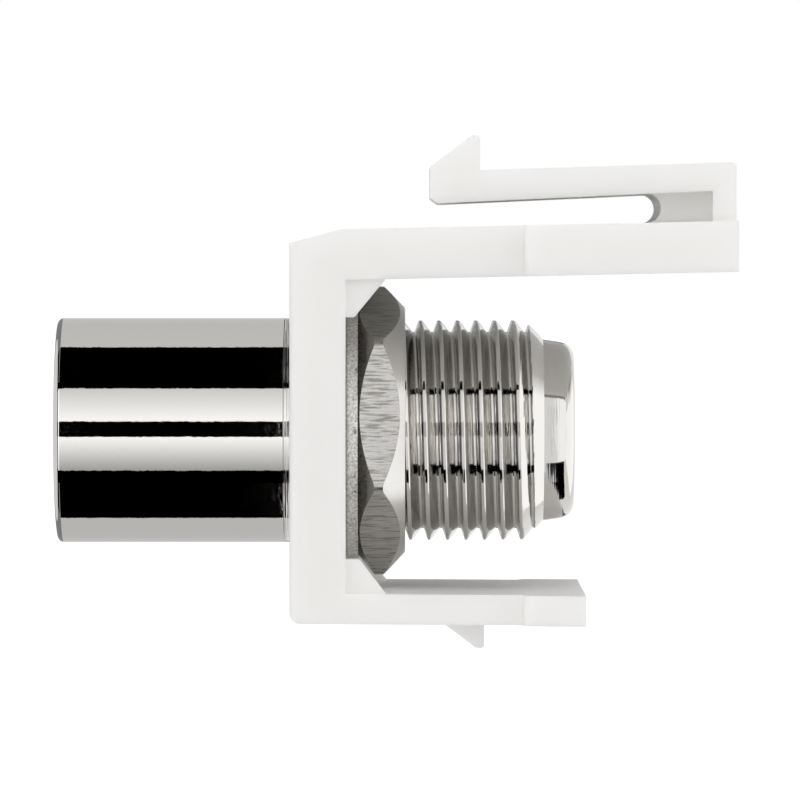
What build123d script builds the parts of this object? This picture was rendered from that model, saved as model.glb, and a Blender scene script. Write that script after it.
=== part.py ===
from build123d import *
import math
import os

# Coaxial keystone module: a snap-in plastic frame that carries a coaxial adaptor, with a
# 9.5 mm push-on plug in front and a 3/8 inch screw-on socket behind, held by a nut.
# X runs along the coaxial axis from the plug to the screw socket, Y is the width and Z is
# up, towards the latch. The origin is where the coaxial axis meets the frame's front face.
# Lengths are millimetres and angles are degrees.

# Front plate of the frame, and the room that its arms leave round the nut's corners
plate_thickness = 2.35
plate_front_radius = 0.45
crown_setback = 2.17
crown_rise = 0.58
nut_room_above = 0.16
nut_room_below = 0.39

# Arms that run back from the plate, and the wider shoulders that stop at the panel
body_width = 14.5
upper_arm_thickness = 2.13
upper_arm_rise = 1.2
lower_arm_thickness = 1.27
lower_arm_fall = 0.35
shoulder_front = 9.85
shoulder_step = 0.75
shoulder_radius = 0.45
shoulder_root_radius = 0.15
upper_shoulder_length = 8.95
lower_shoulder_length = 2.58

# Latch that folds back over the upper arm, and its hook
latch_width = 11.2
latch_wall = 1.0
latch_rear_thickness = 1.16
latch_top_rise = 1.76
latch_under_rise = 2.6
latch_corner_radius = 0.2
slot_height = 1.24
web_length = 3.15
web_recess = 1.0
hook_length = 2.1
hook_catch_gap = 1.85
hook_height = 1.47
hook_ramp = 36.5
hook_tip_width = 0.3
hook_tip_radius = 0.12
hook_heel = 0.35
hook_heel_height = 0.24

# Fixed hook under the lower arm
heel_width = 9.0
heel_catch_gap = 1.65
heel_height = 1.1
heel_ramp = 37.0
heel_tip_width = 0.36
heel_tip_radius = 0.14

# Corner gussets between the plate and the arms
gusset_thickness = 1.2
gusset_inset = 0.2
gusset_reach = 1.68
upper_gusset_height = 1.56
upper_gusset_step = 0.38
lower_gusset_height = 1.44
lower_gusset_step = 0.6

# Brass adaptor body
flange_rim = 0.8
flange_thickness = 1.2
thread_diameter = 9.4
thread_exposed = 5.11
thread_bite = 0.25
thread_chamfer_length = 0.79
nose_root_wall = 0.615
nose_end_wall = 0.39
nose_length = 1.31
nose_roll_radius = 0.5
nose_lip_thickness = 0.4
nose_lip_overlap = 0.37
body_bore_diameter = 5.4
front_seat_step = 0.69
rear_seat_step = 0.57
collar_length = 0.3
collar_chamfer = 0.04
spigot_length = 2.5

# Plug sleeve
sleeve_diameter = 9.6
sleeve_wall = 0.5
sleeve_length = 9.72
sleeve_edge_chamfer = 0.15
sleeve_mouth_chamfer = 0.2
sleeve_seam_chamfer = 0.04

# Lock washer and hexagon nut
washer_thickness = 0.5
washer_ring_width = 0.7
washer_tooth_length = 0.35
washer_tooth_count = 10
washer_tooth_angle = 20.0
nut_thickness = 2.0
nut_wall = 0.97
nut_turn = 8.0
nut_corner_radius = 0.5
nut_face_land = 0.51
nut_chamfer_angle = 37.0
nut_mouth_chamfer = 0.33

# Insulators and centre contact
front_insulator_thickness = 2.2
rear_insulator_thickness = 2.6
funnel_diameter = 2.6
funnel_depth = 0.55
socket_hole_diameter = 1.4
lip_thickness = 0.5
pin_diameter = 2.35
pin_recess = 0.8
pin_tip_length = 1.1
pin_tip_diameter = 0.9
pin_seat_step = 0.225
pin_shoulder_step = 0.3
pin_shoulder_length = 6.4
socket_diameter = 1.9
socket_bore_diameter = 0.9
socket_seat_depth = 2.4
socket_slot_width = 0.3
socket_slot_length = 4.2

# Clearances
plate_hole_clearance = 0.1
pocket_clearance = 0.1
thread_clearance = 0.03
press_clearance = 0.01
seat_clearance = 0.02
washer_clearance = 0.05

# Stations along the coaxial axis
collar_front = -collar_length
sleeve_front = collar_front - sleeve_length
spigot_front = collar_front - spigot_length
nut_front = plate_thickness + washer_thickness
nut_rear = nut_front + nut_thickness
thread_end = nut_rear + thread_exposed
nose_root = thread_end + thread_chamfer_length
nose_end = nose_root + nose_length
rear_insulator_rear = nose_end - nose_lip_thickness
rear_insulator_front = rear_insulator_rear - rear_insulator_thickness
front_insulator_rear = spigot_front + front_insulator_thickness
pin_shoulder_front = front_insulator_rear
pin_shoulder_rear = pin_shoulder_front + pin_shoulder_length
socket_front = pin_shoulder_rear - socket_seat_depth
lip_rear = rear_insulator_rear - funnel_depth
lip_front = lip_rear - lip_thickness
socket_rear = lip_front - seat_clearance

# Radii round the coaxial axis, which fits and walls give
thread_radius = thread_diameter / 2
thread_bite_radius = thread_radius - thread_bite
sleeve_radius = sleeve_diameter / 2
sleeve_bore_radius = sleeve_radius - sleeve_wall
body_bore_radius = body_bore_diameter / 2
front_bore_radius = body_bore_radius + front_seat_step
rear_bore_radius = body_bore_radius + rear_seat_step
pin_radius = pin_diameter / 2
pin_seat_radius = pin_radius + pin_seat_step
pin_shoulder_radius = pin_seat_radius + pin_shoulder_step
socket_radius = socket_diameter / 2
tooth_tip_radius = thread_radius + washer_clearance
tooth_root_radius = tooth_tip_radius + washer_tooth_length
washer_radius = tooth_root_radius + washer_ring_width
flange_flat_radius = thread_radius + flange_rim
nut_bore_radius = thread_bite_radius + thread_clearance
nut_face_radius = nut_bore_radius + nut_mouth_chamfer + nut_face_land
nut_flat_radius = nut_bore_radius + nut_wall
nut_corner_reach = nut_flat_radius / math.cos(math.radians(30))

# Heights and places on the frame
plate_top = nut_corner_reach + nut_room_above + upper_arm_thickness - crown_rise
plate_bottom = nut_corner_reach + nut_room_below + lower_arm_thickness
shoulder_width = body_width + 2 * shoulder_step
upper_arm_reach = shoulder_front + upper_shoulder_length
lower_arm_reach = shoulder_front + lower_shoulder_length
slot_end = upper_arm_reach - web_length
hook_catch = shoulder_front - hook_catch_gap
hook_front = hook_catch - hook_length
heel_catch = shoulder_front - heel_catch_gap


def upper_top(x):
    """Height of the upper arm's top face at a distance behind the front face."""
    return plate_top + crown_rise + (x - crown_setback) * math.tan(math.radians(upper_arm_rise))


def upper_under(x):
    """Height of the upper arm's underside."""
    return upper_top(x) - upper_arm_thickness


def lower_under(x):
    """Height of the lower arm's underside."""
    return -plate_bottom - x * math.tan(math.radians(lower_arm_fall))


def lower_top(x):
    """Height of the lower arm's top face."""
    return lower_under(x) + lower_arm_thickness


def latch_under(x):
    """Height of the latch's underside, which starts at the top of the slot's round end."""
    return upper_top(slot_end) + slot_height + (x - slot_end) * math.tan(math.radians(latch_under_rise))


def latch_top(x):
    """Height of the latch's top face."""
    rear_height = latch_under(upper_arm_reach) + latch_rear_thickness
    return rear_height - (upper_arm_reach - x) * math.tan(math.radians(latch_top_rise))


# Keystone frame, one moulding of white plastic. The side outline of plate and arms is cut
# by the plan outline, which gives the shoulders, and its edges are rounded. The latch, its
# web, the hooks and the gussets are added, and the adaptor's pocket and hole are cut.
with BuildPart() as keystone_frame:
    with BuildSketch(Plane.XZ) as side_outline:
        with BuildLine():
            Polyline(
                (0, -plate_bottom),
                (0, plate_top),
                (crown_setback, upper_top(crown_setback)),
                (upper_arm_reach, upper_top(upper_arm_reach)),
                (upper_arm_reach, upper_under(upper_arm_reach)),
                (plate_thickness, upper_under(plate_thickness)),
                (plate_thickness, lower_top(plate_thickness)),
                (lower_arm_reach, lower_top(lower_arm_reach)),
                (lower_arm_reach, lower_under(lower_arm_reach)),
                close=True,
            )
        make_face()
    extrude(amount=shoulder_width / 2, both=True)
    with BuildSketch() as plan_outline:
        with BuildLine():
            Polyline(
                (0, -body_width / 2),
                (shoulder_front, -body_width / 2),
                (shoulder_front, -shoulder_width / 2),
                (upper_arm_reach, -shoulder_width / 2),
                (upper_arm_reach, shoulder_width / 2),
                (shoulder_front, shoulder_width / 2),
                (shoulder_front, body_width / 2),
                (0, body_width / 2),
                close=True,
            )
        make_face()
        corners = plan_outline.vertices()
        step = corners.filter_by_position(Axis.X, shoulder_front - 0.01, shoulder_front + 0.01)
        fillet(step.group_by(Axis.Y)[0] + step.group_by(Axis.Y)[-1], shoulder_radius)
        fillet(step.group_by(Axis.Y)[1] + step.group_by(Axis.Y)[2], shoulder_root_radius)
    extrude(amount=plate_top + plate_bottom, both=True, mode=Mode.INTERSECT)
    front_edges = keystone_frame.faces().sort_by(Axis.X)[0].edges()
    fillet(front_edges.sort_by(Axis.Z)[:-1], plate_front_radius)

    with BuildSketch(Plane.XZ) as latch_outline:
        with BuildLine():
            Polyline(
                (upper_arm_reach, upper_under(upper_arm_reach) + upper_arm_thickness / 2),
                (upper_arm_reach, latch_top(upper_arm_reach)),
                (hook_catch, latch_top(hook_catch)),
                (hook_catch, latch_top(hook_catch) + hook_height),
                (hook_catch - hook_tip_width, latch_top(hook_catch) + hook_height),
                (
                    hook_front,
                    latch_top(hook_catch)
                    + hook_height
                    - (hook_length - hook_tip_width) * math.tan(math.radians(hook_ramp)),
                ),
                (hook_front, latch_under(hook_front) + hook_heel_height),
                (hook_front + hook_heel, latch_under(hook_front + hook_heel)),
                (upper_arm_reach - latch_wall, latch_under(upper_arm_reach - latch_wall)),
                (
                    upper_arm_reach - latch_wall,
                    upper_under(upper_arm_reach) + upper_arm_thickness / 2,
                ),
                close=True,
            )
        make_face()
        latch_rear = latch_outline.vertices().group_by(Axis.X)[-1]
        fillet(latch_rear.sort_by(Axis.Y)[-1], latch_corner_radius)
        fillet(latch_outline.vertices().group_by(Axis.Y)[-1], hook_tip_radius)
    extrude(amount=latch_width / 2, both=True)

    with BuildSketch(Plane.XZ) as web_outline:
        slot_radius = slot_height / 2
        slot_floor = upper_top(slot_end)
        with BuildLine():
            ThreePointArc(
                (slot_end - slot_radius, slot_floor),
                (slot_end, slot_floor + slot_radius),
                (slot_end - slot_radius, slot_floor + slot_height),
            )
            Polyline(
                (slot_end - slot_radius, slot_floor + slot_height),
                (slot_end, slot_floor + slot_height + latch_rear_thickness / 2),
                (upper_arm_reach - latch_wall / 2, slot_floor + slot_height + latch_rear_thickness / 2),
                (upper_arm_reach - latch_wall / 2, slot_floor - upper_arm_thickness / 2),
                (slot_end, slot_floor - upper_arm_thickness / 2),
                (slot_end - slot_radius, slot_floor),
            )
        make_face()
    extrude(amount=latch_width / 2 - web_recess, both=True)

    with BuildSketch(Plane.XZ) as heel_outline:
        heel_tip = lower_under(heel_catch) - heel_height
        heel_base = lower_under(heel_catch) + lower_arm_thickness / 2
        heel_front = heel_catch - heel_tip_width - heel_height / math.tan(math.radians(heel_ramp))
        with BuildLine():
            Polyline(
                (heel_catch, heel_base),
                (heel_catch, heel_tip),
                (heel_catch - heel_tip_width, heel_tip),
                (heel_front, lower_under(heel_catch)),
                (heel_front, heel_base),
                close=True,
            )
        make_face()
        fillet(heel_outline.vertices().group_by(Axis.Y)[0], heel_tip_radius)
    extrude(amount=heel_width / 2, both=True)

    for gusset_side in (-1, 1):
        gusset_middle = gusset_side * (body_width / 2 - gusset_inset - gusset_thickness / 2)
        with BuildSketch(Plane.XZ.offset(-gusset_middle)):
            with BuildLine():
                Polyline(
                    (plate_thickness / 2, upper_under(0)),
                    (plate_thickness / 2, upper_under(plate_thickness) - upper_gusset_height),
                    (
                        plate_thickness + upper_gusset_step,
                        upper_under(plate_thickness) - upper_gusset_height,
                    ),
                    (plate_thickness + gusset_reach, upper_under(plate_thickness + gusset_reach)),
                    (
                        plate_thickness + gusset_reach,
                        upper_under(plate_thickness) + upper_arm_thickness / 2,
                    ),
                    (plate_thickness / 2, upper_under(plate_thickness) + upper_arm_thickness / 2),
                    close=True,
                )
            make_face()
            with BuildLine():
                Polyline(
                    (plate_thickness / 2, lower_top(plate_thickness) - lower_arm_thickness / 2),
                    (plate_thickness / 2, lower_top(plate_thickness) + lower_gusset_height),
                    (
                        plate_thickness + lower_gusset_step,
                        lower_top(plate_thickness) + lower_gusset_height,
                    ),
                    (plate_thickness + gusset_reach, lower_top(plate_thickness + gusset_reach)),
                    (
                        plate_thickness + gusset_reach,
                        lower_top(plate_thickness) - lower_arm_thickness / 2,
                    ),
                    close=True,
                )
            make_face()
        extrude(amount=gusset_thickness / 2, both=True)

    with BuildSketch(Plane.YZ):
        RegularPolygon(flange_flat_radius + pocket_clearance, 6, major_radius=False, rotation=30)
    extrude(amount=flange_thickness, mode=Mode.SUBTRACT)
    with BuildSketch(Plane.YZ):
        Circle(thread_radius + plate_hole_clearance)
    extrude(amount=plate_thickness, mode=Mode.SUBTRACT)

# Adaptor body, turned from hexagonal brass bar and nickel plated. Its hexagonal flange sits
# in the plate's pocket and stops it turning, and the rolled nose traps the rear insulator.
# The thread is a cylinder over its crests, and under the nut it is drawn at the line where
# the two threads meet.
with BuildPart() as coupler_body:
    with BuildSketch(Plane.XZ) as body_section:
        with BuildLine():
            Polyline(
                (spigot_front, front_bore_radius),
                (spigot_front, sleeve_bore_radius - press_clearance),
                (collar_front, sleeve_bore_radius - press_clearance),
                (collar_front, sleeve_radius - collar_chamfer),
                (collar_front + collar_chamfer, sleeve_radius),
                (flange_thickness / 2, sleeve_radius),
                (flange_thickness / 2, thread_radius),
                (nut_front, thread_radius),
                (nut_front, thread_bite_radius),
                (nut_rear, thread_bite_radius),
                (nut_rear, thread_radius),
                (thread_end, thread_radius),
                (nose_root, rear_bore_radius + nose_root_wall),
                (nose_end, rear_bore_radius + nose_end_wall),
                (nose_end, rear_bore_radius - nose_lip_overlap),
                (rear_insulator_rear, rear_bore_radius - nose_lip_overlap),
                (rear_insulator_rear, rear_bore_radius),
                (rear_insulator_front, rear_bore_radius),
                (rear_insulator_front, body_bore_radius),
                (front_insulator_rear, body_bore_radius),
                (front_insulator_rear, front_bore_radius),
                close=True,
            )
        make_face()
        nose_edge = body_section.vertices().group_by(Axis.X)[-1].sort_by(Axis.Y)[-1]
        fillet(nose_edge, nose_roll_radius)
    revolve(axis=Axis.X)
    with BuildSketch(Plane.YZ):
        RegularPolygon(flange_flat_radius, 6, major_radius=False, rotation=30)
        Circle(body_bore_radius, mode=Mode.SUBTRACT)
    extrude(amount=flange_thickness)

# Plug sleeve, a drawn and turned brass tube, nickel plated and pressed on the body's spigot
with BuildPart() as plug_sleeve:
    with BuildSketch(Plane.XZ) as sleeve_section:
        with BuildLine():
            Polyline(
                (sleeve_front, sleeve_bore_radius + sleeve_mouth_chamfer),
                (sleeve_front, sleeve_radius),
                (collar_front - sleeve_seam_chamfer, sleeve_radius),
                (collar_front, sleeve_radius - sleeve_seam_chamfer),
                (collar_front, sleeve_bore_radius),
                (sleeve_front + sleeve_mouth_chamfer, sleeve_bore_radius),
                close=True,
            )
        make_face()
        mouth_edge = sleeve_section.vertices().group_by(Axis.X)[0].sort_by(Axis.Y)[-1]
        chamfer(mouth_edge, sleeve_edge_chamfer)
    revolve(axis=Axis.X)

# Internal-tooth lock washer, stamped from spring steel and nickel plated
with BuildPart() as lock_washer:
    tooth_half_width = tooth_root_radius * math.sin(math.radians(washer_tooth_angle / 2))
    with BuildSketch(Plane.YZ.offset(plate_thickness)):
        Circle(washer_radius)
        Circle(tooth_root_radius, mode=Mode.SUBTRACT)
        with PolarLocations(0, washer_tooth_count):
            with Locations((tooth_tip_radius, 0)):
                Rectangle(
                    washer_tooth_length + washer_ring_width / 2,
                    2 * tooth_half_width,
                    align=(Align.MIN, Align.CENTER),
                )
        Circle(tooth_tip_radius, mode=Mode.SUBTRACT)
    extrude(amount=washer_thickness)

# Hexagon nut of nickel-plated brass, with both faces chamfered to a cone
with BuildPart() as hex_nut:
    with BuildSketch(Plane.YZ.offset(nut_front)) as nut_outline:
        RegularPolygon(nut_flat_radius, 6, major_radius=False, rotation=30 - nut_turn)
        fillet(nut_outline.vertices(), nut_corner_radius)
    extrude(amount=nut_thickness)
    cone_depth = (nut_corner_reach - nut_face_radius) * math.tan(math.radians(nut_chamfer_angle))
    with BuildSketch(Plane.XZ):
        with BuildLine():
            Polyline(
                (nut_front, 0),
                (nut_front, nut_face_radius),
                (nut_front + cone_depth, nut_corner_reach),
                (nut_rear - cone_depth, nut_corner_reach),
                (nut_rear, nut_face_radius),
                (nut_rear, 0),
                close=True,
            )
        make_face()
    revolve(axis=Axis.X, mode=Mode.INTERSECT)
    with BuildSketch(Plane.YZ.offset(nut_front)):
        Circle(nut_bore_radius)
    extrude(amount=nut_thickness, mode=Mode.SUBTRACT)
    circles = hex_nut.edges().filter_by(GeomType.CIRCLE)
    nut_mouths = circles.filter_by(lambda edge: math.isclose(edge.radius, nut_bore_radius))
    chamfer(nut_mouths, nut_mouth_chamfer)

# Front insulator, a white moulded disc in the body's front bore, which centres the pin
with BuildPart() as front_insulator:
    with BuildSketch(Plane.YZ.offset(spigot_front)):
        Circle(front_bore_radius - seat_clearance)
        Circle(pin_seat_radius + seat_clearance, mode=Mode.SUBTRACT)
    extrude(amount=front_insulator_thickness)

# Centre pin, turned brass. It has the plug's pin in front, a thicker seat in the front
# insulator, a shoulder behind it, and a bore at the back for the spring socket.
with BuildPart() as centre_pin:
    pin_front = sleeve_front + pin_recess
    pin_tip_rear = pin_front + pin_tip_length
    with BuildSketch(Plane.XZ):
        with BuildLine():
            Polyline(
                (pin_tip_rear, pin_radius),
                (spigot_front, pin_radius),
                (spigot_front, pin_seat_radius),
                (pin_shoulder_front, pin_seat_radius),
                (pin_shoulder_front, pin_shoulder_radius),
                (pin_shoulder_rear, pin_shoulder_radius),
                (pin_shoulder_rear, socket_radius + press_clearance),
                (socket_front, socket_radius + press_clearance),
                (socket_front, 0),
                (pin_front, 0),
                (pin_front, pin_tip_diameter / 2),
                close=True,
            )
        make_face()
    revolve(axis=Axis.X)

# Spring socket, a phosphor-bronze tube with crossed slots that grips the cable's centre wire
with BuildPart() as spring_socket:
    with BuildSketch(Plane.YZ.offset(socket_front)):
        Circle(socket_radius)
        Circle(socket_bore_diameter / 2, mode=Mode.SUBTRACT)
    extrude(amount=socket_rear - socket_front)
    with BuildSketch(Plane.YZ.offset(socket_rear)):
        Rectangle(2 * socket_diameter, socket_slot_width)
        Rectangle(socket_slot_width, 2 * socket_diameter)
    extrude(amount=-socket_slot_length, mode=Mode.SUBTRACT)

# Rear insulator, a white moulded plug with a funnel that guides the wire into the socket
with BuildPart() as rear_insulator:
    with BuildSketch(Plane.XZ):
        with BuildLine():
            Polyline(
                (rear_insulator_front, socket_radius + seat_clearance),
                (rear_insulator_front, rear_bore_radius - seat_clearance),
                (rear_insulator_rear, rear_bore_radius - seat_clearance),
                (rear_insulator_rear, funnel_diameter / 2),
                (lip_rear, socket_hole_diameter / 2),
                (lip_front, socket_hole_diameter / 2),
                (lip_front, socket_radius + seat_clearance),
                close=True,
            )
        make_face()
    revolve(axis=Axis.X)

os.makedirs("parts", exist_ok=True)
pieces = {
    "keystone_frame": keystone_frame,
    "coupler_body": coupler_body,
    "plug_sleeve": plug_sleeve,
    "lock_washer": lock_washer,
    "hex_nut": hex_nut,
    "front_insulator": front_insulator,
    "centre_pin": centre_pin,
    "spring_socket": spring_socket,
    "rear_insulator": rear_insulator,
}
for name, piece in pieces.items():
    piece.part.label = name
    export_step(piece.part, f"parts/{name}.step")
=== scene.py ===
import math

import bmesh
import bpy
from mathutils import Matrix, Vector, noise


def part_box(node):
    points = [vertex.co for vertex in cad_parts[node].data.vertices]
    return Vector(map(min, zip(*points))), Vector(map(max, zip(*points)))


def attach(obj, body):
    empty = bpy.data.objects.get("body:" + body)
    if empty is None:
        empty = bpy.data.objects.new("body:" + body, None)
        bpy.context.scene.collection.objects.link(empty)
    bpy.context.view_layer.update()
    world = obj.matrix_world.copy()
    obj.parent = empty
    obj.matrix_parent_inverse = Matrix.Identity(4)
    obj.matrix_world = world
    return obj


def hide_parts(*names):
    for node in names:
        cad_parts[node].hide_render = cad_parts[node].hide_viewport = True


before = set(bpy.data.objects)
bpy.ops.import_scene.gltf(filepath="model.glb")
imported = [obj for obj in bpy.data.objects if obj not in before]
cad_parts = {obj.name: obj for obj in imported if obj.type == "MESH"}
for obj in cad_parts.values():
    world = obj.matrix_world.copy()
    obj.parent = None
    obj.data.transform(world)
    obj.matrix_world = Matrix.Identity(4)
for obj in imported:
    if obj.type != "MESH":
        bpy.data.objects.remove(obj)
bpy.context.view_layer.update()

# The keystone frame is one injection moulding of white ABS, snapped in the panel by its
# latch. It comes from a polished mould, so its faces are satin and every edge is softened.
mm = 0.001
mould_edge_radius = 0.11 * mm
mould_edge_angle = math.radians(24)
flat_angle = math.radians(1)
edge_segments = 3
shading_angle = 32
weld_distance = 0.002 * mm
abs_white = "EFEEEC"
abs_roughness = 0.36
abs_ior = 1.54
abs_translucency = 1.0
abs_light_depth = 1.2 * mm
shrink_wave_length = 6.0 * mm
shrink_wave_height = 0.05 * mm
# The polish of a mould is finer than 0.05 mm, and is drawn coarser so that it shows
polish_grain = 0.35 * mm
polish_grain_height = 0.01 * mm


def linear(hex_colour):
    """Turns an sRGB hex colour into the linear colour that a shader takes."""
    channels = [int(hex_colour[i : i + 2], 16) / 255 for i in (0, 2, 4)]
    return [c / 12.92 if c <= 0.04045 else ((c + 0.055) / 1.055) ** 2.4 for c in channels] + [1]


def add(tree, kind, links=(), **settings):
    """Adds a node, sets its inputs or properties, and links sockets into it."""
    node = tree.nodes.new(kind)
    for name, value in settings.items():
        socket = name.replace("_", " ")
        if hasattr(node, name):
            setattr(node, name, value)
        else:
            node.inputs[socket].default_value = value
    for source, name in links:
        tree.links.new(source, node.inputs[name])
    return node


def new_material(name):
    """Makes an empty material and returns it with its node tree."""
    material = bpy.data.materials.new(name)
    material.use_nodes = True
    material.node_tree.nodes.clear()
    return material, material.node_tree


def white_abs():
    """White ABS from a polished mould: satin, finely grained, with some light under its skin."""
    material, tree = new_material("white_abs_moulded")
    place = add(tree, "ShaderNodeTexCoord")
    waves = add(tree, "ShaderNodeTexNoise", [(place.outputs["Object"], "Vector")],
                Scale=1 / shrink_wave_length, Detail=1.0)
    grain = add(tree, "ShaderNodeTexNoise", [(place.outputs["Object"], "Vector")],
                Scale=1 / polish_grain, Detail=3.0)
    low = add(tree, "ShaderNodeBump", [(waves.outputs["Fac"], "Height")],
              Strength=0.25, Distance=shrink_wave_height)
    fine = add(tree, "ShaderNodeBump",
               [(grain.outputs["Fac"], "Height"), (low.outputs["Normal"], "Normal")],
               Strength=0.12, Distance=polish_grain_height)
    gloss = add(tree, "ShaderNodeMapRange", [(grain.outputs["Fac"], "Value")],
                To_Min=abs_roughness - 0.04, To_Max=abs_roughness + 0.06)
    plastic = add(tree, "ShaderNodeBsdfPrincipled",
                  [(fine.outputs["Normal"], "Normal"), (gloss.outputs["Result"], "Roughness")],
                  Base_Color=linear(abs_white), IOR=abs_ior, Subsurface_Weight=abs_translucency,
                  Subsurface_Radius=(1, 1, 1), Subsurface_Scale=abs_light_depth)
    add(tree, "ShaderNodeOutputMaterial", [(plastic.outputs["BSDF"], "Surface")])
    return material


def finish_piece(bm, name, material, node, edge_angle=shading_angle):
    """Makes a piece of a bmesh, gives it its finish, and puts it in place of its CAD node."""
    if bm.calc_volume(signed=True) < 0:
        bmesh.ops.reverse_faces(bm, faces=bm.faces)
    mesh = bpy.data.meshes.new(name)
    bm.to_mesh(mesh)
    bm.free()
    mesh.shade_smooth()
    mesh.set_sharp_from_angle(angle=math.radians(edge_angle))
    piece = bpy.data.objects.new(name, mesh)
    bpy.context.scene.collection.objects.link(piece)
    mesh.materials.append(material)
    smoothing = piece.modifiers.new("even_faces", "WEIGHTED_NORMAL")
    smoothing.keep_sharp = True
    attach(piece, "root")
    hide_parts(node)
    return piece


def soften(bm, edges, radius, segments=edge_segments):
    """Rounds edges with a small radius."""
    bmesh.ops.bevel(bm, geom=edges, affect="EDGES", offset=radius, offset_type="OFFSET",
                    segments=segments, profile=0.5, material=-1, clamp_overlap=True)


moulding = bmesh.new()
moulding.from_mesh(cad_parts["keystone_frame"].data)
bmesh.ops.remove_doubles(moulding, verts=moulding.verts, dist=weld_distance)
bmesh.ops.dissolve_limit(moulding, angle_limit=flat_angle, verts=moulding.verts,
                         edges=moulding.edges)
sharp = [e for e in moulding.edges if e.is_manifold and e.calc_face_angle(0) > mould_edge_angle]
soften(moulding, sharp, mould_edge_radius)
finish_piece(moulding, "frame_moulding", white_abs(), "keystone_frame")

# The plug sleeve is a drawn brass tube, turned to length, polished and nickel plated. It is
# pressed on the body's spigot, and only a fine seam by the plate shows the joint.
turning_steps = 192
ring_tolerance = 0.004 * mm
nickel = "CAC8C5"
plating_roughness = 0.03
orange_peel = 0.3 * mm
plating_relief = 0.02 * mm
# Fine feed marks lie about 0.05 mm apart, and are drawn coarser so that they show
turning_line_spacing = 0.09 * mm
turning_line_stretch = 0.02
feed_mark_fade = 0.2 * mm
sleeve_low, sleeve_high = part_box("plug_sleeve")
sleeve_radius = sleeve_high.z
sleeve_wall = 0.5 * mm
sleeve_lip_radius = 0.25 * mm
sleeve_mouth_radius = 0.18 * mm
seam_chamfer = 0.02 * mm


def turn(outline, steps=turning_steps):
    """Spins a closed outline of (x, radius) points round the coaxial axis."""
    bm = bmesh.new()
    points = [bm.verts.new((x, 0, radius)) for x, radius in outline]
    for first, second in zip(points, points[1:] + points[:1]):
        bm.edges.new((first, second))
    bmesh.ops.spin(bm, geom=bm.verts[:] + bm.edges[:], cent=(0, 0, 0), axis=(1, 0, 0),
                   angle=math.tau, steps=steps, use_merge=True)
    bmesh.ops.remove_doubles(bm, verts=bm.verts, dist=weld_distance / 10)
    bmesh.ops.recalc_face_normals(bm, faces=bm.faces)
    return bm


def ring(bm, x, radius):
    """The edges of a turned piece that run round the axis at one place."""
    def on_ring(vert):
        off_place = abs(vert.co.x - x)
        off_radius = abs(vert.co.yz.length - radius)
        return max(off_place, off_radius) < ring_tolerance
    return [e for e in bm.edges if all(on_ring(v) for v in e.verts)]


def nickel_plate(name, roughness, peel_strength, line_strength=0.0, lines_stop=1.0):
    """Bright nickel on turned brass: a warm mirror with a trace of orange peel and feed marks."""
    material, tree = new_material(name)
    place = add(tree, "ShaderNodeTexCoord")
    peel = add(tree, "ShaderNodeTexNoise", [(place.outputs["Object"], "Vector")],
               Scale=1 / orange_peel, Detail=3.0)
    skin = add(tree, "ShaderNodeBump", [(peel.outputs["Fac"], "Height")],
               Strength=peel_strength, Distance=plating_relief)
    along = add(tree, "ShaderNodeMapping", [(place.outputs["Object"], "Vector")],
                Scale=(1, turning_line_stretch, turning_line_stretch))
    lines = add(tree, "ShaderNodeTexNoise", [(along.outputs["Vector"], "Vector")],
                Scale=1 / turning_line_spacing, Detail=2.0)
    axes = add(tree, "ShaderNodeSeparateXYZ", [(place.outputs["Object"], "Vector")])
    depth = add(tree, "ShaderNodeMapRange", [(axes.outputs["X"], "Value")],
                From_Min=lines_stop, From_Max=lines_stop + feed_mark_fade,
                To_Min=line_strength, To_Max=line_strength / 3)
    turned = add(tree, "ShaderNodeBump",
                 [(lines.outputs["Fac"], "Height"), (skin.outputs["Normal"], "Normal"),
                  (depth.outputs["Result"], "Strength")], Distance=plating_relief)
    metal = add(tree, "ShaderNodeBsdfPrincipled", [(turned.outputs["Normal"], "Normal")],
                Base_Color=linear(nickel), Metallic=1.0, Roughness=roughness)
    add(tree, "ShaderNodeOutputMaterial", [(metal.outputs["BSDF"], "Surface")])
    return material


bright_nickel = nickel_plate("bright_nickel_plate", plating_roughness, 0.09)
sleeve = turn([
    (sleeve_low.x, sleeve_radius - sleeve_wall),
    (sleeve_low.x, sleeve_radius),
    (sleeve_high.x - seam_chamfer, sleeve_radius),
    (sleeve_high.x, sleeve_radius - seam_chamfer),
    (sleeve_high.x, sleeve_radius - sleeve_wall),
])
soften(sleeve, ring(sleeve, sleeve_low.x, sleeve_radius), sleeve_lip_radius, 6)
soften(sleeve, ring(sleeve, sleeve_low.x, sleeve_radius - sleeve_wall), sleeve_mouth_radius, 5)
finish_piece(sleeve, "plug_sleeve_tube", bright_nickel, "plug_sleeve")

# The coupler body is turned from hexagonal brass bar and nickel plated. Its flange sits in the
# plate's pocket, the 3/8-32 thread is cut right-handed over its barrel, and the plain nose
# behind the thread is rolled over the rear insulator.
thread_pitch = 25.4 / 32 * mm
thread_radius = 4.7 * mm
thread_depth = 0.5 * mm
thread_crest = 0.12 * mm
thread_crest_fall = 0.01 * mm
thread_shoulder = 0.05 * mm
thread_shoulder_drop = 0.055 * mm
thread_rear_flank = 0.35 * mm
thread_root = 0.1 * mm
thread_softness = 0.02 * mm
thread_edge_angle = math.radians(40)
thread_crest_at = 5.493 * mm
thread_end = 9.96 * mm
thread_steps = 96
thread_turns = 11
turns_before_crest = 3
thread_runs_out = 10.5 * mm
thread_under_nut = 0.4 * mm
thread_bite = 0.27 * mm
lead_in = 0.2 * mm
nose_root = 10.75 * mm
nose_root_radius = 3.885 * mm
nose_swell_at = 11.3 * mm
nose_swell_radius = 3.81 * mm
nose_end_radius = 3.66 * mm
nose_mouth_radius = 2.9 * mm
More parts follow.
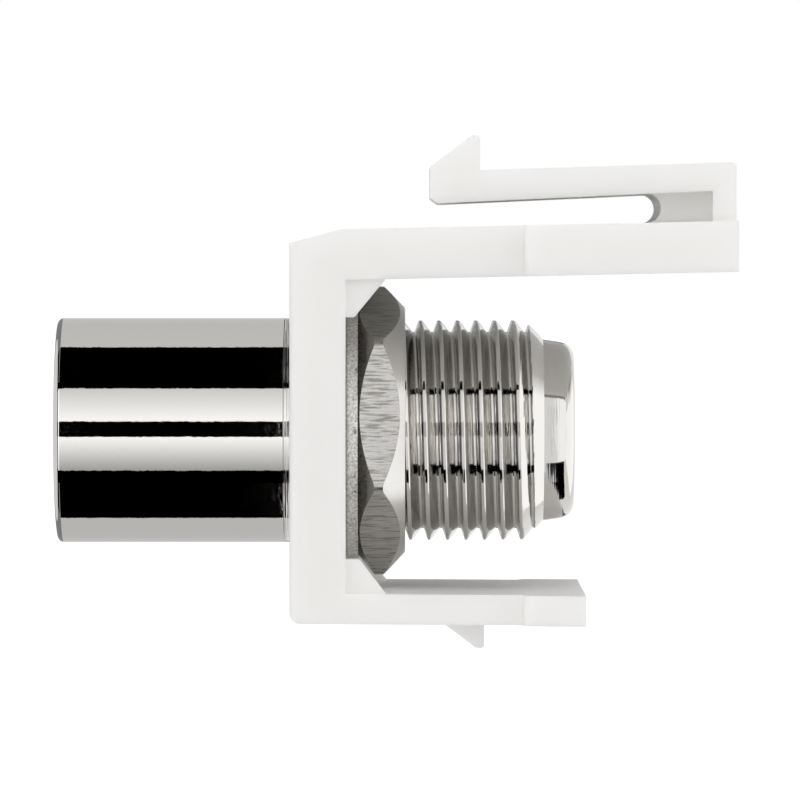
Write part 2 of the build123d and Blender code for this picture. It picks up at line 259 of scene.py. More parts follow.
nose_roll_radius = 0.5 * mm
nose_lip_radius = 0.12 * mm
flange_thickness = 1.2 * mm
flange_flat_radius = 5.5 * mm
flange_corner_radius = 0.3 * mm
spigot_radius = 4.29 * mm
bore_radius = 2.7 * mm
seat_gap = 0.02 * mm
cut_roughness = 0.06
body_shading_angle = 8
body_low, body_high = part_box("coupler_body")
nut_low, nut_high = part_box("hex_nut")
front_low, front_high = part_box("front_insulator")
rear_low, rear_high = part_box("rear_insulator")
front_bore_radius = front_high.z + seat_gap
rear_bore_radius = rear_high.z + seat_gap
collar_front = sleeve_high.x
thread_start = nut_high.x - thread_under_nut
thread_core = thread_radius - thread_depth - lead_in
bite_radius = thread_radius - thread_bite


def open_edges(bm, x):
    """The open edges of a piece that lie in one cross-section."""
    def here(vert):
        return abs(vert.co.x - x) < weld_distance
    return [e for e in bm.edges if e.is_boundary and all(here(v) for v in e.verts)]


def turn_down(bm, start, start_radius, end, end_radius, stop, cuts=18):
    """Turns a piece down to a cone between two places, and gives the radius where it stops."""
    for cut in range(cuts):
        x = start + (stop - start) * cut / cuts
        bmesh.ops.bisect_plane(bm, geom=bm.verts[:] + bm.edges[:] + bm.faces[:],
                               plane_co=(x, 0, 0), plane_no=(1, 0, 0))
    slope = (end_radius - start_radius) / (end - start)
    for vert in bm.verts:
        limit = start_radius + slope * (vert.co.x - start)
        radius = vert.co.yz.length
        if radius > limit:
            vert.co.yz *= limit / radius
    return start_radius + slope * (stop - start)


body = bmesh.new()
profile_start = thread_crest_at - thread_crest / 2 - turns_before_crest * thread_pitch
flank_start = thread_crest + thread_shoulder
root_start = flank_start + thread_rear_flank
one_pitch = [
    (0, thread_radius),
    (thread_crest, thread_radius - thread_crest_fall),
    (flank_start, thread_radius - thread_shoulder_drop),
    (root_start, thread_radius - thread_depth),
    (root_start + thread_root, thread_radius - thread_depth),
    (thread_pitch, thread_radius),
]
points = [body.verts.new((profile_start + x, 0, radius)) for x, radius in one_pitch]
for first, second in zip(points, points[1:]):
    body.edges.new((first, second))
bmesh.ops.spin(body, geom=body.verts[:] + body.edges[:], cent=(0, 0, 0), axis=(1, 0, 0),
               dvec=(thread_pitch / thread_steps, 0, 0), angle=math.tau * thread_turns,
               steps=thread_steps * thread_turns)
bmesh.ops.remove_doubles(body, verts=body.verts, dist=weld_distance)
creases = [e for e in body.edges if e.is_manifold and e.calc_face_angle(0) > thread_edge_angle]
soften(body, creases, thread_softness, 2)
for x, side in ((thread_start, -1), (thread_runs_out, 1)):
    bmesh.ops.bisect_plane(body, geom=body.verts[:] + body.edges[:] + body.faces[:],
                           plane_co=(x, 0, 0), plane_no=(side, 0, 0), clear_outer=True)
run_out_radius = turn_down(body, thread_end, thread_radius, nose_root, nose_root_radius,
                           thread_runs_out)


edge_reach = 0.03 * mm


def even_ring(bm, x, radius, steps):
    """Spaces a piece's rear edge evenly round the axis, so that a turned part joins it."""
    edge = [v for v in bm.verts if v.co.x > x - edge_reach]
    for vert in edge:
        step = round(math.atan2(-vert.co.y, vert.co.z) / math.tau * steps / 2)
        vert.co = Matrix.Rotation(math.tau * step * 2 / steps, 3, "X") @ Vector((x, 0, radius))
    bmesh.ops.remove_doubles(bm, verts=edge, dist=weld_distance)
    halves = bmesh.ops.subdivide_edges(bm, edges=open_edges(bm, x), cuts=1)["geom_inner"]
    for vert in (g for g in halves if isinstance(g, bmesh.types.BMVert)):
        vert.co.yz = vert.co.yz.normalized() * radius


even_ring(body, thread_runs_out, run_out_radius, turning_steps)


def spin_line(bm, outline, steps):
    """Spins an open line of (x, radius) points round the coaxial axis, into an open wall."""
    line = [bm.verts.new((x, 0, radius)) for x, radius in outline]
    edges = [bm.edges.new(pair) for pair in zip(line, line[1:])]
    bmesh.ops.spin(bm, geom=line + edges, cent=(0, 0, 0), axis=(1, 0, 0),
                   angle=math.tau, steps=steps, use_merge=True)


spin_line(body, [
    (0, sleeve_radius),
    (collar_front + seam_chamfer, sleeve_radius),
    (collar_front, sleeve_radius - seam_chamfer),
    (collar_front, spigot_radius),
    (body_low.x, spigot_radius),
    (body_low.x, front_bore_radius),
    (front_high.x, front_bore_radius),
    (front_high.x, bore_radius),
    (rear_low.x, bore_radius),
    (rear_low.x, rear_bore_radius),
    (rear_high.x, rear_bore_radius),
    (rear_high.x, nose_mouth_radius),
    (body_high.x, nose_mouth_radius),
    (body_high.x, nose_end_radius),
    (nose_swell_at, nose_swell_radius),
    (nose_root, nose_root_radius),
    (thread_runs_out, run_out_radius),
], turning_steps)
spin_line(body, [
    (flange_thickness, thread_radius),
    (nut_low.x, thread_radius),
    (nut_low.x + lead_in, bite_radius),
    (thread_start - lead_in, bite_radius),
    (thread_start, thread_core),
], turning_steps)
hexagon = bmesh.ops.create_circle(body, segments=6,
                                  radius=flange_flat_radius / math.cos(math.pi / 6))["verts"]
for turn_angle, axis in ((math.pi / 2, "Y"), (math.pi / 6, "X")):
    bmesh.ops.rotate(body, verts=hexagon, cent=(0, 0, 0), matrix=Matrix.Rotation(turn_angle, 3, axis))
rim = [e for e in body.edges if all(v in hexagon for v in e.verts)]
walls = bmesh.ops.extrude_edge_only(body, edges=rim)["geom"]
bmesh.ops.translate(body, verts=[g for g in walls if isinstance(g, bmesh.types.BMVert)],
                    vec=(flange_thickness, 0, 0))
corners = [e for e in body.edges
           if e.is_manifold and abs(e.verts[0].co.x - e.verts[1].co.x) > mm
           and e.verts[0].co.yz.length > flange_flat_radius]
soften(body, corners, flange_corner_radius, 4)
for x in (0, flange_thickness, thread_start):
    bmesh.ops.triangle_fill(body, edges=open_edges(body, x), use_beauty=True)
seam = {v for e in open_edges(body, thread_runs_out) for v in e.verts}
bmesh.ops.remove_doubles(body, verts=list(seam), dist=weld_distance)
bmesh.ops.recalc_face_normals(body, faces=body.faces)
soften(body, ring(body, body_high.x, nose_end_radius), nose_roll_radius, 16)
soften(body, ring(body, body_high.x, nose_mouth_radius), nose_lip_radius, 12)
cut_nickel = nickel_plate("cut_nickel_plate", cut_roughness, 0.05, 0.4, thread_end)
finish_piece(body, "coupler_body_turned", cut_nickel, "coupler_body",
             body_shading_angle)

# The lock washer is stamped from spring steel and nickel plated. Its outer edge is sheared, so
# it is rounded on one face and ragged on the other, and its inner teeth bite under the nut.
washer_low, washer_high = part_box("lock_washer")
washer_radius = washer_high.z
washer_root_radius = 5.1 * mm
washer_tip_radius = 4.75 * mm
washer_teeth = 10
washer_tooth_angle = 20
washer_steps = 360
washer_die_roll = 0.12 * mm
washer_cut_depth = 0.25 * mm
washer_burr_length = 0.12 * mm
washer_tear = 0.03 * mm
washer_burr = 0.02 * mm
washer_raggedness = 0.03 * mm
coarse_tear = 0.25 * mm
fine_tear = 0.09 * mm
washer_colour = "E2E0DC"
washer_shade_colour = "A5A29E"
washer_pit_colour = "4C4946"
washer_grain = 0.1 * mm
washer_pit_spacing = 0.22 * mm
washer_grain_depth = 0.03 * mm
washer = turn([
    (washer_low.x, washer_root_radius),
    (washer_low.x, washer_radius),
    (washer_low.x + washer_cut_depth, washer_radius),
    (washer_high.x - washer_burr_length, washer_radius - washer_tear),
    (washer_high.x, washer_radius - washer_tear + washer_burr),
    (washer_high.x, washer_root_radius),
], washer_steps)
soften(washer, ring(washer, washer_low.x, washer_radius), washer_die_roll, 4)
for vert in washer.verts:
    radius = vert.co.yz.length
    if radius > washer_radius - 0.2 * mm and vert.co.x > washer_low.x + 0.2 * mm:
        ragged = noise.noise(vert.co / coarse_tear) + 0.6 * noise.noise(vert.co / fine_tear)
        vert.co.yz *= 1 + washer_raggedness * (ragged - 0.6) / radius


def in_tooth(face):
    """Whether a face of the washer's inner wall carries a tooth."""
    middle = face.calc_center_median()
    angle = math.degrees(math.atan2(middle.z, middle.y)) % (360 / washer_teeth)
    return middle.yz.length < washer_root_radius + weld_distance and angle < washer_tooth_angle


teeth = bmesh.ops.extrude_face_region(washer, geom=[f for f in washer.faces if in_tooth(f)])["geom"]
for vert in (g for g in teeth if isinstance(g, bmesh.types.BMVert)):
    vert.co.yz *= washer_tip_radius / washer_root_radius
bmesh.ops.delete(washer, geom=[f for f in washer.faces if in_tooth(f)], context="FACES_ONLY")


def torn_nickel():
    """Nickel over a sheared edge: a torn, mottled grey that scatters light, with small dark pits."""
    material, tree = new_material("sheared_washer_steel")
    place = add(tree, "ShaderNodeTexCoord")
    axes = add(tree, "ShaderNodeSeparateXYZ", [(place.outputs["Object"], "Vector")])
    tear = add(tree, "ShaderNodeTexNoise", [(place.outputs["Object"], "Vector")],
               Scale=1 / washer_grain, Detail=4.0, Roughness=0.65)
    mottle = add(tree, "ShaderNodeMapRange", [(tear.outputs["Fac"], "Value")],
                 From_Min=0.35, From_Max=0.6)
    greys = add(tree, "ShaderNodeMix", [(mottle.outputs["Result"], "Factor")], data_type="RGBA")
    greys.inputs[6].default_value = linear(washer_shade_colour)
    greys.inputs[7].default_value = linear(washer_colour)
    patches = add(tree, "ShaderNodeTexNoise", [(place.outputs["Object"], "Vector")],
                  Scale=1 / washer_pit_spacing, Detail=4.0, Roughness=0.7)
    torn_side = add(tree, "ShaderNodeMapRange", [(axes.outputs["X"], "Value")],
                    From_Min=washer_low.x + 0.08 * mm, From_Max=washer_low.x + 0.3 * mm,
                    To_Min=0.14, To_Max=0.0)
    threshold = add(tree, "ShaderNodeMath",
                    [(patches.outputs["Fac"], 0), (torn_side.outputs["Result"], 1)],
                    operation="SUBTRACT")
    pits = add(tree, "ShaderNodeMapRange", [(threshold.outputs[0], "Value")],
               From_Min=0.58, From_Max=0.68)
    colours = add(tree, "ShaderNodeMix", [(pits.outputs["Result"], "Factor")], data_type="RGBA")
    tree.links.new(greys.outputs[2], colours.inputs[6])
    colours.inputs[7].default_value = linear(washer_pit_colour)
    bump = add(tree, "ShaderNodeBump", [(tear.outputs["Fac"], "Height")],
               Strength=0.6, Distance=washer_grain_depth)
    metal = add(tree, "ShaderNodeBsdfPrincipled",
                [(bump.outputs["Normal"], "Normal"), (colours.outputs[2], "Base Color")],
                Metallic=0.55, Roughness=0.4)
    add(tree, "ShaderNodeOutputMaterial", [(metal.outputs["BSDF"], "Surface")])
    return material


finish_piece(washer, "lock_washer_stamped", torn_nickel(), "lock_washer")

# The hexagon nut is cut from drawn brass bar, faced and chamfered on both sides, and nickel
# plated. Its flats keep the fine lines of the drawing die, which run along the axis.
nut_flat_radius = 5.45 * mm
nut_turn = math.radians(8)
nut_corner_radius = 0.5 * mm
nut_face_radius = 5.35 * mm
nut_rear_face_radius = 5.23 * mm
nut_bore_radius = 4.48 * mm
nut_chamfer_angle = math.radians(39.3)
nut_rear_chamfer_angle = math.radians(43.5)
nut_mouth_chamfer = 0.33 * mm
cone_radius = 6.8 * mm
bar_spare = 0.1 * mm
nut_colour = "B6B4B1"
nut_line_colour = "86847F"
# Painted shade: a darker grey on the front chamfer, for the shaded plate and washer that it reflects
nut_front_chamfer_painted_shade = "9C9A96"
nut_roughness = 0.22
nut_line_strength = 0.8
nut_line_depth = 0.02 * mm
# A die draws lines of a few hundredths of a millimetre, drawn coarser so that they show
drawing_line_spacing = 0.09 * mm
drawing_line_stretch = 0.1


def drawn_nickel():
    """Nickel on drawn bar: flats with fine dark lines, a bright rear chamfer and painted shade on the
    front one.
    """
    material, tree = new_material("drawn_nut_nickel")
    place = add(tree, "ShaderNodeTexCoord")
    facing = add(tree, "ShaderNodeSeparateXYZ", [(place.outputs["Normal"], "Vector")])
    lean = add(tree, "ShaderNodeMath", [(facing.outputs["X"], 0)], operation="ABSOLUTE")
    chamfer = add(tree, "ShaderNodeMapRange", [(lean.outputs[0], "Value")],
                  From_Min=0.15, From_Max=0.35)
    rear = add(tree, "ShaderNodeMapRange", [(facing.outputs["X"], "Value")],
               From_Min=-0.2, From_Max=0.2)
    along = add(tree, "ShaderNodeMapping", [(place.outputs["Object"], "Vector")],
                Scale=(drawing_line_stretch, 1, 1))
    lines = add(tree, "ShaderNodeTexNoise", [(along.outputs["Vector"], "Vector")],
                Scale=1 / drawing_line_spacing, Detail=4.0)
    depth = add(tree, "ShaderNodeMapRange", [(chamfer.outputs["Result"], "Value")],
                To_Min=nut_line_strength, To_Max=nut_line_strength / 10)
    bump = add(tree, "ShaderNodeBump",
               [(lines.outputs["Fac"], "Height"), (depth.outputs["Result"], "Strength")],
               Distance=nut_line_depth)
    gloss = add(tree, "ShaderNodeMapRange", [(lines.outputs["Fac"], "Value")],
                To_Min=nut_roughness - 0.08, To_Max=nut_roughness + 0.12)
    scored = add(tree, "ShaderNodeMapRange", [(lines.outputs["Fac"], "Value")],
                 From_Min=0.36, From_Max=0.5)
    flats = add(tree, "ShaderNodeMix", [(scored.outputs["Result"], "Factor")], data_type="RGBA")
    flats.inputs[6].default_value = linear(nut_line_colour)
    flats.inputs[7].default_value = linear(nut_colour)
    # The front chamfer gets the painted shade grey, and the rear chamfer plain nickel
    chamfers_with_painted_shade = add(tree, "ShaderNodeMix", [(rear.outputs["Result"], "Factor")], data_type="RGBA")
    chamfers_with_painted_shade.inputs[6].default_value = linear(nut_front_chamfer_painted_shade)
    chamfers_with_painted_shade.inputs[7].default_value = linear(nickel)
    faces = add(tree, "ShaderNodeMix", [(chamfer.outputs["Result"], "Factor")], data_type="RGBA")
    tree.links.new(flats.outputs[2], faces.inputs[6])
    tree.links.new(chamfers_with_painted_shade.outputs[2], faces.inputs[7])
    metal = add(tree, "ShaderNodeBsdfPrincipled",
                [(bump.outputs["Normal"], "Normal"), (gloss.outputs["Result"], "Roughness"),
                 (faces.outputs[2], "Base Color")], Metallic=1.0)
    add(tree, "ShaderNodeOutputMaterial", [(metal.outputs["BSDF"], "Surface")])
    return material


def combine(bm, cutter, operation):
    """Joins, cuts or intersects a bmesh with another one, and returns the closed result."""
    blanks = []
    for source in (bm, cutter):
        mesh = bpy.data.meshes.new("blank")
        source.to_mesh(mesh)
        source.free()
        blanks.append(bpy.data.objects.new("blank", mesh))
        bpy.context.scene.collection.objects.link(blanks[-1])
    step = blanks[0].modifiers.new("step", "BOOLEAN")
    step.object = blanks[1]
    step.operation = operation
    step.solver = "EXACT"
    evaluated = blanks[0].evaluated_get(bpy.context.evaluated_depsgraph_get())
    result = bmesh.new()
    result.from_mesh(evaluated.to_mesh())
    for blank in blanks:
        mesh = blank.data
        bpy.data.objects.remove(blank)
        bpy.data.meshes.remove(mesh)
    return result


bar = bmesh.new()
bmesh.ops.create_circle(bar, segments=6, radius=nut_flat_radius / math.cos(math.pi / 6),
                        cap_ends=True)
end_face = bmesh.ops.extrude_face_region(bar, geom=bar.faces[:])["geom"]
bmesh.ops.translate(bar, verts=[g for g in end_face if isinstance(g, bmesh.types.BMVert)],
                    vec=(0, 0, nut_high.x - nut_low.x + 2 * bar_spare))
bmesh.ops.recalc_face_normals(bar, faces=bar.faces)
corners = [e for e in bar.edges if abs(e.verts[0].co.z - e.verts[1].co.z) > mm]
soften(bar, corners, nut_corner_radius * math.tan(math.pi / 6), 6)
for turn_angle, axis in ((math.pi / 2, "Y"), (math.pi / 6 - nut_turn, "X")):
    bmesh.ops.rotate(bar, verts=bar.verts, cent=(0, 0, 0), matrix=Matrix.Rotation(turn_angle, 3, axis))
bmesh.ops.translate(bar, verts=bar.verts, vec=(nut_low.x - bar_spare, 0, 0))
cone_depth = (cone_radius - nut_face_radius) * math.tan(nut_chamfer_angle)
rear_cone_depth = (cone_radius - nut_rear_face_radius) * math.tan(nut_rear_chamfer_angle)
cones = turn([
    (nut_low.x, nut_bore_radius + nut_mouth_chamfer),
    (nut_low.x, nut_face_radius),
    (nut_low.x + cone_depth, cone_radius),
    (nut_high.x - rear_cone_depth, cone_radius),
    (nut_high.x, nut_rear_face_radius),
    (nut_high.x, nut_bore_radius + nut_mouth_chamfer),
    (nut_high.x - nut_mouth_chamfer, nut_bore_radius),
    (nut_low.x + nut_mouth_chamfer, nut_bore_radius),
])
finish_piece(combine(cones, bar, "INTERSECT"), "hex_nut_drawn", drawn_nickel(),
             "hex_nut")

# The front insulator is a white moulded disc, pressed in the mouth of the body behind the
# sleeve. It centres the pin, and its face has a shallow ring where the mould's core stood.
insulator_white = "EBE9E3"
insulator_roughness = 0.45
insulator_ior = 1.51
insulator_grain = 0.4 * mm
insulator_grain_height = 0.01 * mm
moulded_edge_radius = 0.08 * mm
pin_seat_radius = 1.4 * mm
core_ring_depth = 0.15 * mm
core_ring_inner = pin_seat_radius + 0.5 * mm
core_ring_outer = pin_seat_radius + 1.3 * mm
core_ring_slope = 0.1 * mm


def white_insulator():
    """Off-white moulded polyethylene: waxy and matt, with a faint grain."""
    material, tree = new_material("white_polyethylene")
    place = add(tree, "ShaderNodeTexCoord")
    skin = add(tree, "ShaderNodeTexNoise", [(place.outputs["Object"], "Vector")],
               Scale=1 / insulator_grain, Detail=2.0)
    bump = add(tree, "ShaderNodeBump", [(skin.outputs["Fac"], "Height")],
               Strength=0.2, Distance=insulator_grain_height)
    plastic = add(tree, "ShaderNodeBsdfPrincipled", [(bump.outputs["Normal"], "Normal")],
                  Base_Color=linear(insulator_white), Roughness=insulator_roughness,
                  IOR=insulator_ior)
    add(tree, "ShaderNodeOutputMaterial", [(plastic.outputs["BSDF"], "Surface")])
    return material


polyethylene = white_insulator()
disc = turn([
    (front_low.x, pin_seat_radius),
    (front_low.x, core_ring_inner),
    (front_low.x + core_ring_depth, core_ring_inner + core_ring_slope),
    (front_low.x + core_ring_depth, core_ring_outer - core_ring_slope),
    (front_low.x, core_ring_outer),
    (front_low.x, front_high.z),
    (front_high.x, front_high.z),
    (front_high.x, pin_seat_radius),
])
soften(disc, ring(disc, front_low.x, front_high.z), moulded_edge_radius)
soften(disc, ring(disc, front_low.x, pin_seat_radius), moulded_edge_radius)
finish_piece(disc, "front_insulator_disc", polyethylene, "front_insulator")

# The centre pin is turned from brass and nickel plated, with a rounded tip. It is pressed
# through the insulator, and its bored tail holds the spring socket.
pin_low, pin_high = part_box("centre_pin")
socket_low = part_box("spring_socket")[0]
pin_radius = 1.175 * mm
pin_tip_radius = 0.45 * mm
pin_tip_length = 1.1 * mm
pin_tip_steps = 8
pin_point_radius = 0.15 * mm
pin_steps = 96
pin_roughness = 0.08
pin_shoulder_radius = pin_high.z
pin_shoulder_front = -0.6 * mm
socket_radius = 0.95 * mm
pin_tip = []
for step in range(pin_tip_steps + 1):
    lean = math.pi / 2 * step / pin_tip_steps
    pin_tip.append((pin_low.x + pin_tip_length * (1 - math.sin(lean)),
                    pin_tip_radius + (pin_radius - pin_tip_radius) * math.cos(lean)))
pin = turn(pin_tip[::-1] + [
    (front_low.x, pin_radius),
    (front_low.x, pin_seat_radius),
    (pin_shoulder_front, pin_seat_radius),
    (pin_shoulder_front, pin_shoulder_radius),
    (pin_high.x, pin_shoulder_radius),
    (pin_high.x, socket_radius),
    (socket_low.x, socket_radius),
    (socket_low.x, 0),
    (pin_low.x, 0),
], pin_steps)
soften(pin, ring(pin, pin_low.x, pin_tip_radius), pin_point_radius, 4)
pin_nickel = nickel_plate("turned_pin_nickel", pin_roughness, 0.05, 0.1)
finish_piece(pin, "centre_pin_turned", pin_nickel, "centre_pin")

# The spring socket is a phosphor-bronze tube, slit crosswise at its mouth so that it grips
# the cable's centre wire. It shows only through the funnel of the rear insulator.
bronze_colour = "C9995E"
bronze_stain_size = 0.6 * mm


def phosphor_bronze():
    """Drawn phosphor bronze: a warm brown metal whose gloss comes and goes with its stains."""
    material, tree = new_material("phosphor_bronze")
    place = add(tree, "ShaderNodeTexCoord")
    stain = add(tree, "ShaderNodeTexNoise", [(place.outputs["Object"], "Vector")],
                Scale=1 / bronze_stain_size, Detail=3.0)
    gloss = add(tree, "ShaderNodeMapRange", [(stain.outputs["Fac"], "Value")],
                To_Min=0.15, To_Max=0.4)
    metal = add(tree, "ShaderNodeBsdfPrincipled", [(gloss.outputs["Result"], "Roughness")],
                Base_Color=linear(bronze_colour), Metallic=1.0)
    add(tree, "ShaderNodeOutputMaterial", [(metal.outputs["BSDF"], "Surface")])
    return material


spring_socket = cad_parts["spring_socket"]
spring_socket.data.materials.clear()
spring_socket.data.materials.append(phosphor_bronze())

# The rear insulator is a white moulded plug, put in from behind and held by the rolled nose.
# A funnel in its face guides the cable's centre wire into the spring socket.
funnel_radius = 1.3 * mm
wire_hole_radius = 0.7 * mm
funnel_bottom = rear_high.x - 0.55 * mm
lip_front = rear_high.x - 1.05 * mm
plug = turn([
    (rear_low.x, socket_radius + seat_gap),
    (rear_low.x, rear_high.z),
    (rear_high.x, rear_high.z),
    (rear_high.x, funnel_radius),
    (funnel_bottom, wire_hole_radius),
    (lip_front, wire_hole_radius),
    (lip_front, socket_radius + seat_gap),
])
soften(plug, ring(plug, rear_high.x, funnel_radius), moulded_edge_radius)
soften(plug, ring(plug, funnel_bottom, wire_hole_radius), moulded_edge_radius)
finish_piece(plug, "rear_insulator_plug", polyethylene, "rear_insulator")

# Studio of the photograph: a white sweep, large soft lamps, and black and white cards that
# run along the object and give the polished tube its bands. The cards show in gloss only.
card_distance = 160 * mm
card_steps = 24
floor_height = -30 * mm
floor_size = 3
floor_glow = 0.88
floor_seen = "B3B3B3"
floor_white = "F2F2F2"


def white_sweep():
    """A white ground that the camera sees as white, and that throws some light back up."""
    material, tree = new_material("white_sweep")
    path = add(tree, "ShaderNodeLightPath")
    glow = add(tree, "ShaderNodeEmission", Strength=floor_glow)
    lit = add(tree, "ShaderNodeBsdfDiffuse", Color=linear(floor_seen))
    seen = add(tree, "ShaderNodeAddShader")
    tree.links.new(glow.outputs[0], seen.inputs[0])
    tree.links.new(lit.outputs[0], seen.inputs[1])
    matt = add(tree, "ShaderNodeBsdfDiffuse", Color=linear(floor_white))
    mix = add(tree, "ShaderNodeMixShader")
    tree.links.new(path.outputs["Is Camera Ray"], mix.inputs[0])
    tree.links.new(matt.outputs[0], mix.inputs[1])
    tree.links.new(seen.outputs[0], mix.inputs[2])
    add(tree, "ShaderNodeOutputMaterial", [(mix.outputs[0], "Surface")])
    return material


def stage_object(bm, name, material):
    """Makes a stage object of a bmesh."""
    mesh = bpy.data.meshes.new(name)
    bm.to_mesh(mesh)
    bm.free()
    mesh.materials.append(material)
    thing = bpy.data.objects.new(name, mesh)
    bpy.context.scene.collection.objects.link(thing)
    return thing


ground = bmesh.new()
bmesh.ops.create_grid(ground, x_segments=1, y_segments=1, size=floor_size)
bmesh.ops.translate(ground, verts=ground.verts, vec=(0, 0, floor_height))
floor = stage_object(ground, "floor", white_sweep())
floor.visible_glossy = False


def card_light(name, near_level, far_level, near_angle, far_angle):
    """A card's even or graded glow, from the edge by the lens to the far edge."""
    material, tree = new_material(name)
    place = add(tree, "ShaderNodeTexCoord")
    axes = add(tree, "ShaderNodeSeparateXYZ", [(place.outputs["Object"], "Vector")])
    heights = [card_distance * math.sin(math.radians(a)) for a in (near_angle, far_angle)]
    level = add(tree, "ShaderNodeMapRange", [(axes.outputs["Z"], "Value")],
                From_Min=heights[0], From_Max=heights[1], To_Min=near_level, To_Max=far_level)
    glow = add(tree, "ShaderNodeEmission", [(level.outputs["Result"], "Strength")])
    add(tree, "ShaderNodeOutputMaterial", [(glow.outputs[0], "Surface")])
    return material


def show_in_gloss_only(card):
    """Keeps a card out of the camera's view, the shadows and the diffuse light."""
    card.visible_camera = False
    card.visible_diffuse = False
    card.visible_shadow = False


def bent_card(name, start_angle, end_angle, span, near_level, far_level):
    """A card swept round the coaxial axis between two angles up from the lens, over one span."""
    bm = bmesh.new()
    lean = Matrix.Rotation(-math.radians(start_angle), 3, "X")
    ends = [bm.verts.new(lean @ Vector((x * mm, -card_distance, 0))) for x in span]
    bm.edges.new(ends)
    bmesh.ops.spin(bm, geom=bm.verts[:] + bm.edges[:], cent=(0, 0, 0), axis=(1, 0, 0),
                   angle=-math.radians(end_angle - start_angle), steps=card_steps)
    light = card_light(name, near_level, far_level, start_angle, end_angle)
    show_in_gloss_only(stage_object(bm, name, light))


# The spans along the axis, in millimetres, are named for what they show in
far, flanks, tube, nut = (-120, -45), (-45, -20), (-20, -2), (-2, 5.4)
crests, grooves, rear = (5.4, 14), (14, 25), (25, 52)
lens_low, lens_high = -5.5, 10
softbox_low, softbox_high = -40, 44

# The glow of the upper and of the lower softbox, each from its near to its far edge
for name, span, upper, lower in (
    ("far", far, (0.4, 0.4), (0.4, 0.4)),
    ("flank", flanks, (2.8, 2.5), (2.6, 2.1)),
    ("tube", tube, (1.62, 1.0), (1.62, 0.56)),
    ("nut", nut, (1.55, 0.95), (1.57, 0.65)),
    ("crest", crests, (1.1, 0.95), (1.05, 0.75)),
    ("groove", grooves, (1.6, 1.2), (1.6, 1.1)),
    ("rear", rear, (1.15, 1.0), (1.0, 0.85)),
):
    bent_card(f"upper_{name}_softbox", lens_high, softbox_high, span, *upper)
    bent_card(f"lower_{name}_softbox", lens_low, softbox_low, span, *lower)

# Cards with an even glow beside the lens, above, below and behind, black where they are flags
for name, start, end, span, level in (
    ("far_lens_gap", lens_low, lens_high, far, 0),
    ("flank_lens_gap", lens_low, lens_high, flanks, 2.8),
    ("tube_lens_gap", lens_low, lens_high, tube, 0),
    ("crest_lens_gap", lens_low, lens_high, (-2, 14), 1.15),
    ("groove_lens_gap", lens_low, lens_high, grooves, 0.5),
    ("rear_lens_gap", lens_low, lens_high, rear, 0.65),
    ("upper_tube_flag", 44, 95, tube, 0),
    ("upper_far_flag", 44, 95, far, 0),
    ("upper_flank_flag", 44, 51, flanks, 0),
    ("upper_flank_card", 51, 95, flanks, 0.35),
    ("upper_thread_flag", 44, 51, (-2, 52), 0),
    ("upper_nut_card", 51, 158, nut, 0.12),
    ("upper_crest_card", 51, 158, crests, 0.18),
    ("upper_groove_card", 51, 158, (14, 52), 0.08),
    ("lower_tube_flag", -40, -100, tube, 0),
    ("lower_far_flag", -40, -100, far, 0),
    ("lower_flank_flag", -40, -54, flanks, 0),
    ("lower_flank_card", -54, -100, flanks, 0.4),
    ("lower_thread_flag", -40, -54, (-2, 46), 0),
    ("lower_nut_card", -54, -158, nut, 1.25),
    ("lower_crest_card", -54, -158, crests, 0.3),
    ("lower_groove_card", -54, -158, (14, 46), 0.14),
    ("nose_front_card", -42, 44, (52, 65), 1.08),
    ("nose_line_flag", -38, 32, (65, 66.5), 0.3),
    ("nose_rear_card", -42, 44, (66.5, 165), 1.45),
    ("upper_nose_card", 44, 158, (52, 120), 0.32),
    ("upper_nose_flag", -42, -70, (56, 90), 0),
    ("lower_nose_flag", -70, -104, (52, 90), 0),
    ("lower_nose_card", -104, -158, (46, 120), 1.05),
    ("front_back_card", 95, 265, (-120, -20), 0.3),
    ("back_flag", 158, 202, (-2, 12.5), 0.1),
    ("lower_nose_back_card", -158, -180, (12.5, 30), 0.95),
):
    bent_card(name, start, end, span, level, level)

bent_card("upper_back_card", 95, 180, tube, 0.85, 0.6)
bent_card("lower_back_card", -100, -180, tube, 0.78, 0.63)
bent_card("upper_nose_back_card", 158, 180, (12.5, 30), 0.36, 0.4)

# Two flat panels stand behind the screw port: their reach along Y and Z, and their glow
side_distance = 170
side_shade_angles = (20, 38)
for name, near, distant, low, high, level, dim_level in (
    ("side_softbox", -15, 150, -135, 125, 1.55, 0.35),
    ("side_strip", -150, -15, -135, 75, 1.5, 1.5),
):
    side = bmesh.new()
    bmesh.ops.create_grid(side, x_segments=1, y_segments=1, size=0.5)
    bmesh.ops.scale(side, verts=side.verts, vec=((high - low) * mm, (distant - near) * mm, 1))
    bmesh.ops.rotate(side, verts=side.verts, cent=(0, 0, 0),
                     matrix=Matrix.Rotation(math.pi / 2, 3, "Y"))
    middle = Vector((side_distance, (near + distant) / 2, (low + high) / 2))
    bmesh.ops.translate(side, verts=side.verts, vec=middle * mm)
    show_in_gloss_only(stage_object(side, name, card_light(name, level, dim_level, *side_shade_angles)))


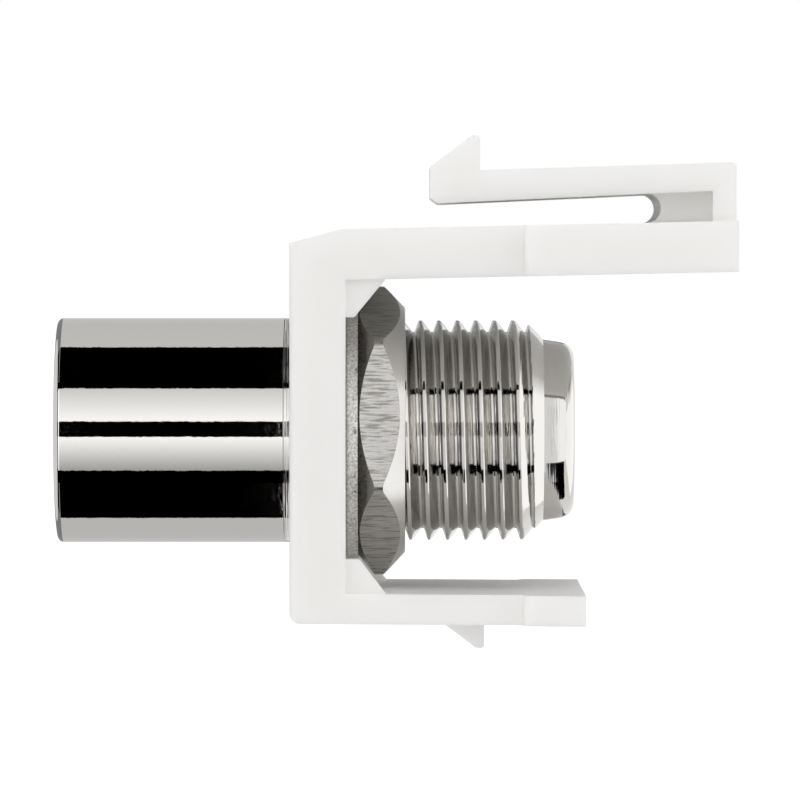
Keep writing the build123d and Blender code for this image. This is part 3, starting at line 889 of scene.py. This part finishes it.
def soft_lamp(name, place, size, energy):
    """A large soft lamp that faces the object and shows in no reflection."""
    lamp = bpy.data.lights.new(name, "AREA")
    lamp.shape = "RECTANGLE"
    lamp.size, lamp.size_y = size
    lamp.energy = energy
    thing = bpy.data.objects.new(name, lamp)
    bpy.context.scene.collection.objects.link(thing)
    thing.location = place
    thing.rotation_euler = (-Vector(place)).to_track_quat("-Z", "Y").to_euler()
    thing.visible_glossy = False
    return thing


soft_lamp("top_lamp", (0, -0.15, 0.6), (0.5, 0.5), 0.7)
soft_lamp("front_lamp", (0, -0.5, 0.42), (0.4, 0.4), 1.0)
soft_lamp("left_lamp", (-0.65, -0.25, -0.02), (0.5, 0.06), 1.4)
soft_lamp("right_lamp", (0.6, -0.2, 0.12), (0.4, 0.4), 0.9)

room_light = 0.5
world = bpy.data.worlds.new("white_studio")
bpy.context.scene.world = world
world.use_nodes = True
sky = world.node_tree
sky.nodes.clear()
ray = add(sky, "ShaderNodeLightPath")
direct = add(sky, "ShaderNodeMath",
             [(ray.outputs["Is Camera Ray"], 0), (ray.outputs["Is Glossy Ray"], 1)],
             operation="MAXIMUM")
plain = add(sky, "ShaderNodeMath",
            [(direct.outputs[0], 0), (ray.outputs["Is Transmission Ray"], 1)],
            operation="MAXIMUM")
strength = add(sky, "ShaderNodeMapRange", [(plain.outputs[0], "Value")],
               To_Min=room_light, To_Max=1.0)
light = add(sky, "ShaderNodeBackground", [(strength.outputs["Result"], "Strength")],
            Color=(1, 1, 1, 1))
add(sky, "ShaderNodeOutputWorld", [(light.outputs[0], "Surface")])

# The camera stands where the photograph was taken, a third of a metre off with a long lens.
# It looks straight across the module, from a little above the coaxial axis.
lens_place = Vector((5.06, -307.2, 7.5)) * mm
lens_aim = Vector((4.63, 0, 1.29)) * mm
lens_length = 322.5
sensor_width = 36
nearest_seen = 10 * mm
camera_data = bpy.data.cameras.new("camera")
camera_data.lens = lens_length
camera_data.sensor_width = sensor_width
camera_data.clip_start = nearest_seen
camera = bpy.data.objects.new("camera", camera_data)
bpy.context.scene.collection.objects.link(camera)
camera.location = lens_place
camera.rotation_euler = (lens_aim - lens_place).to_track_quat("-Z", "Y").to_euler()
bpy.context.scene.camera = camera
bpy.context.scene.view_settings.view_transform = "Standard"
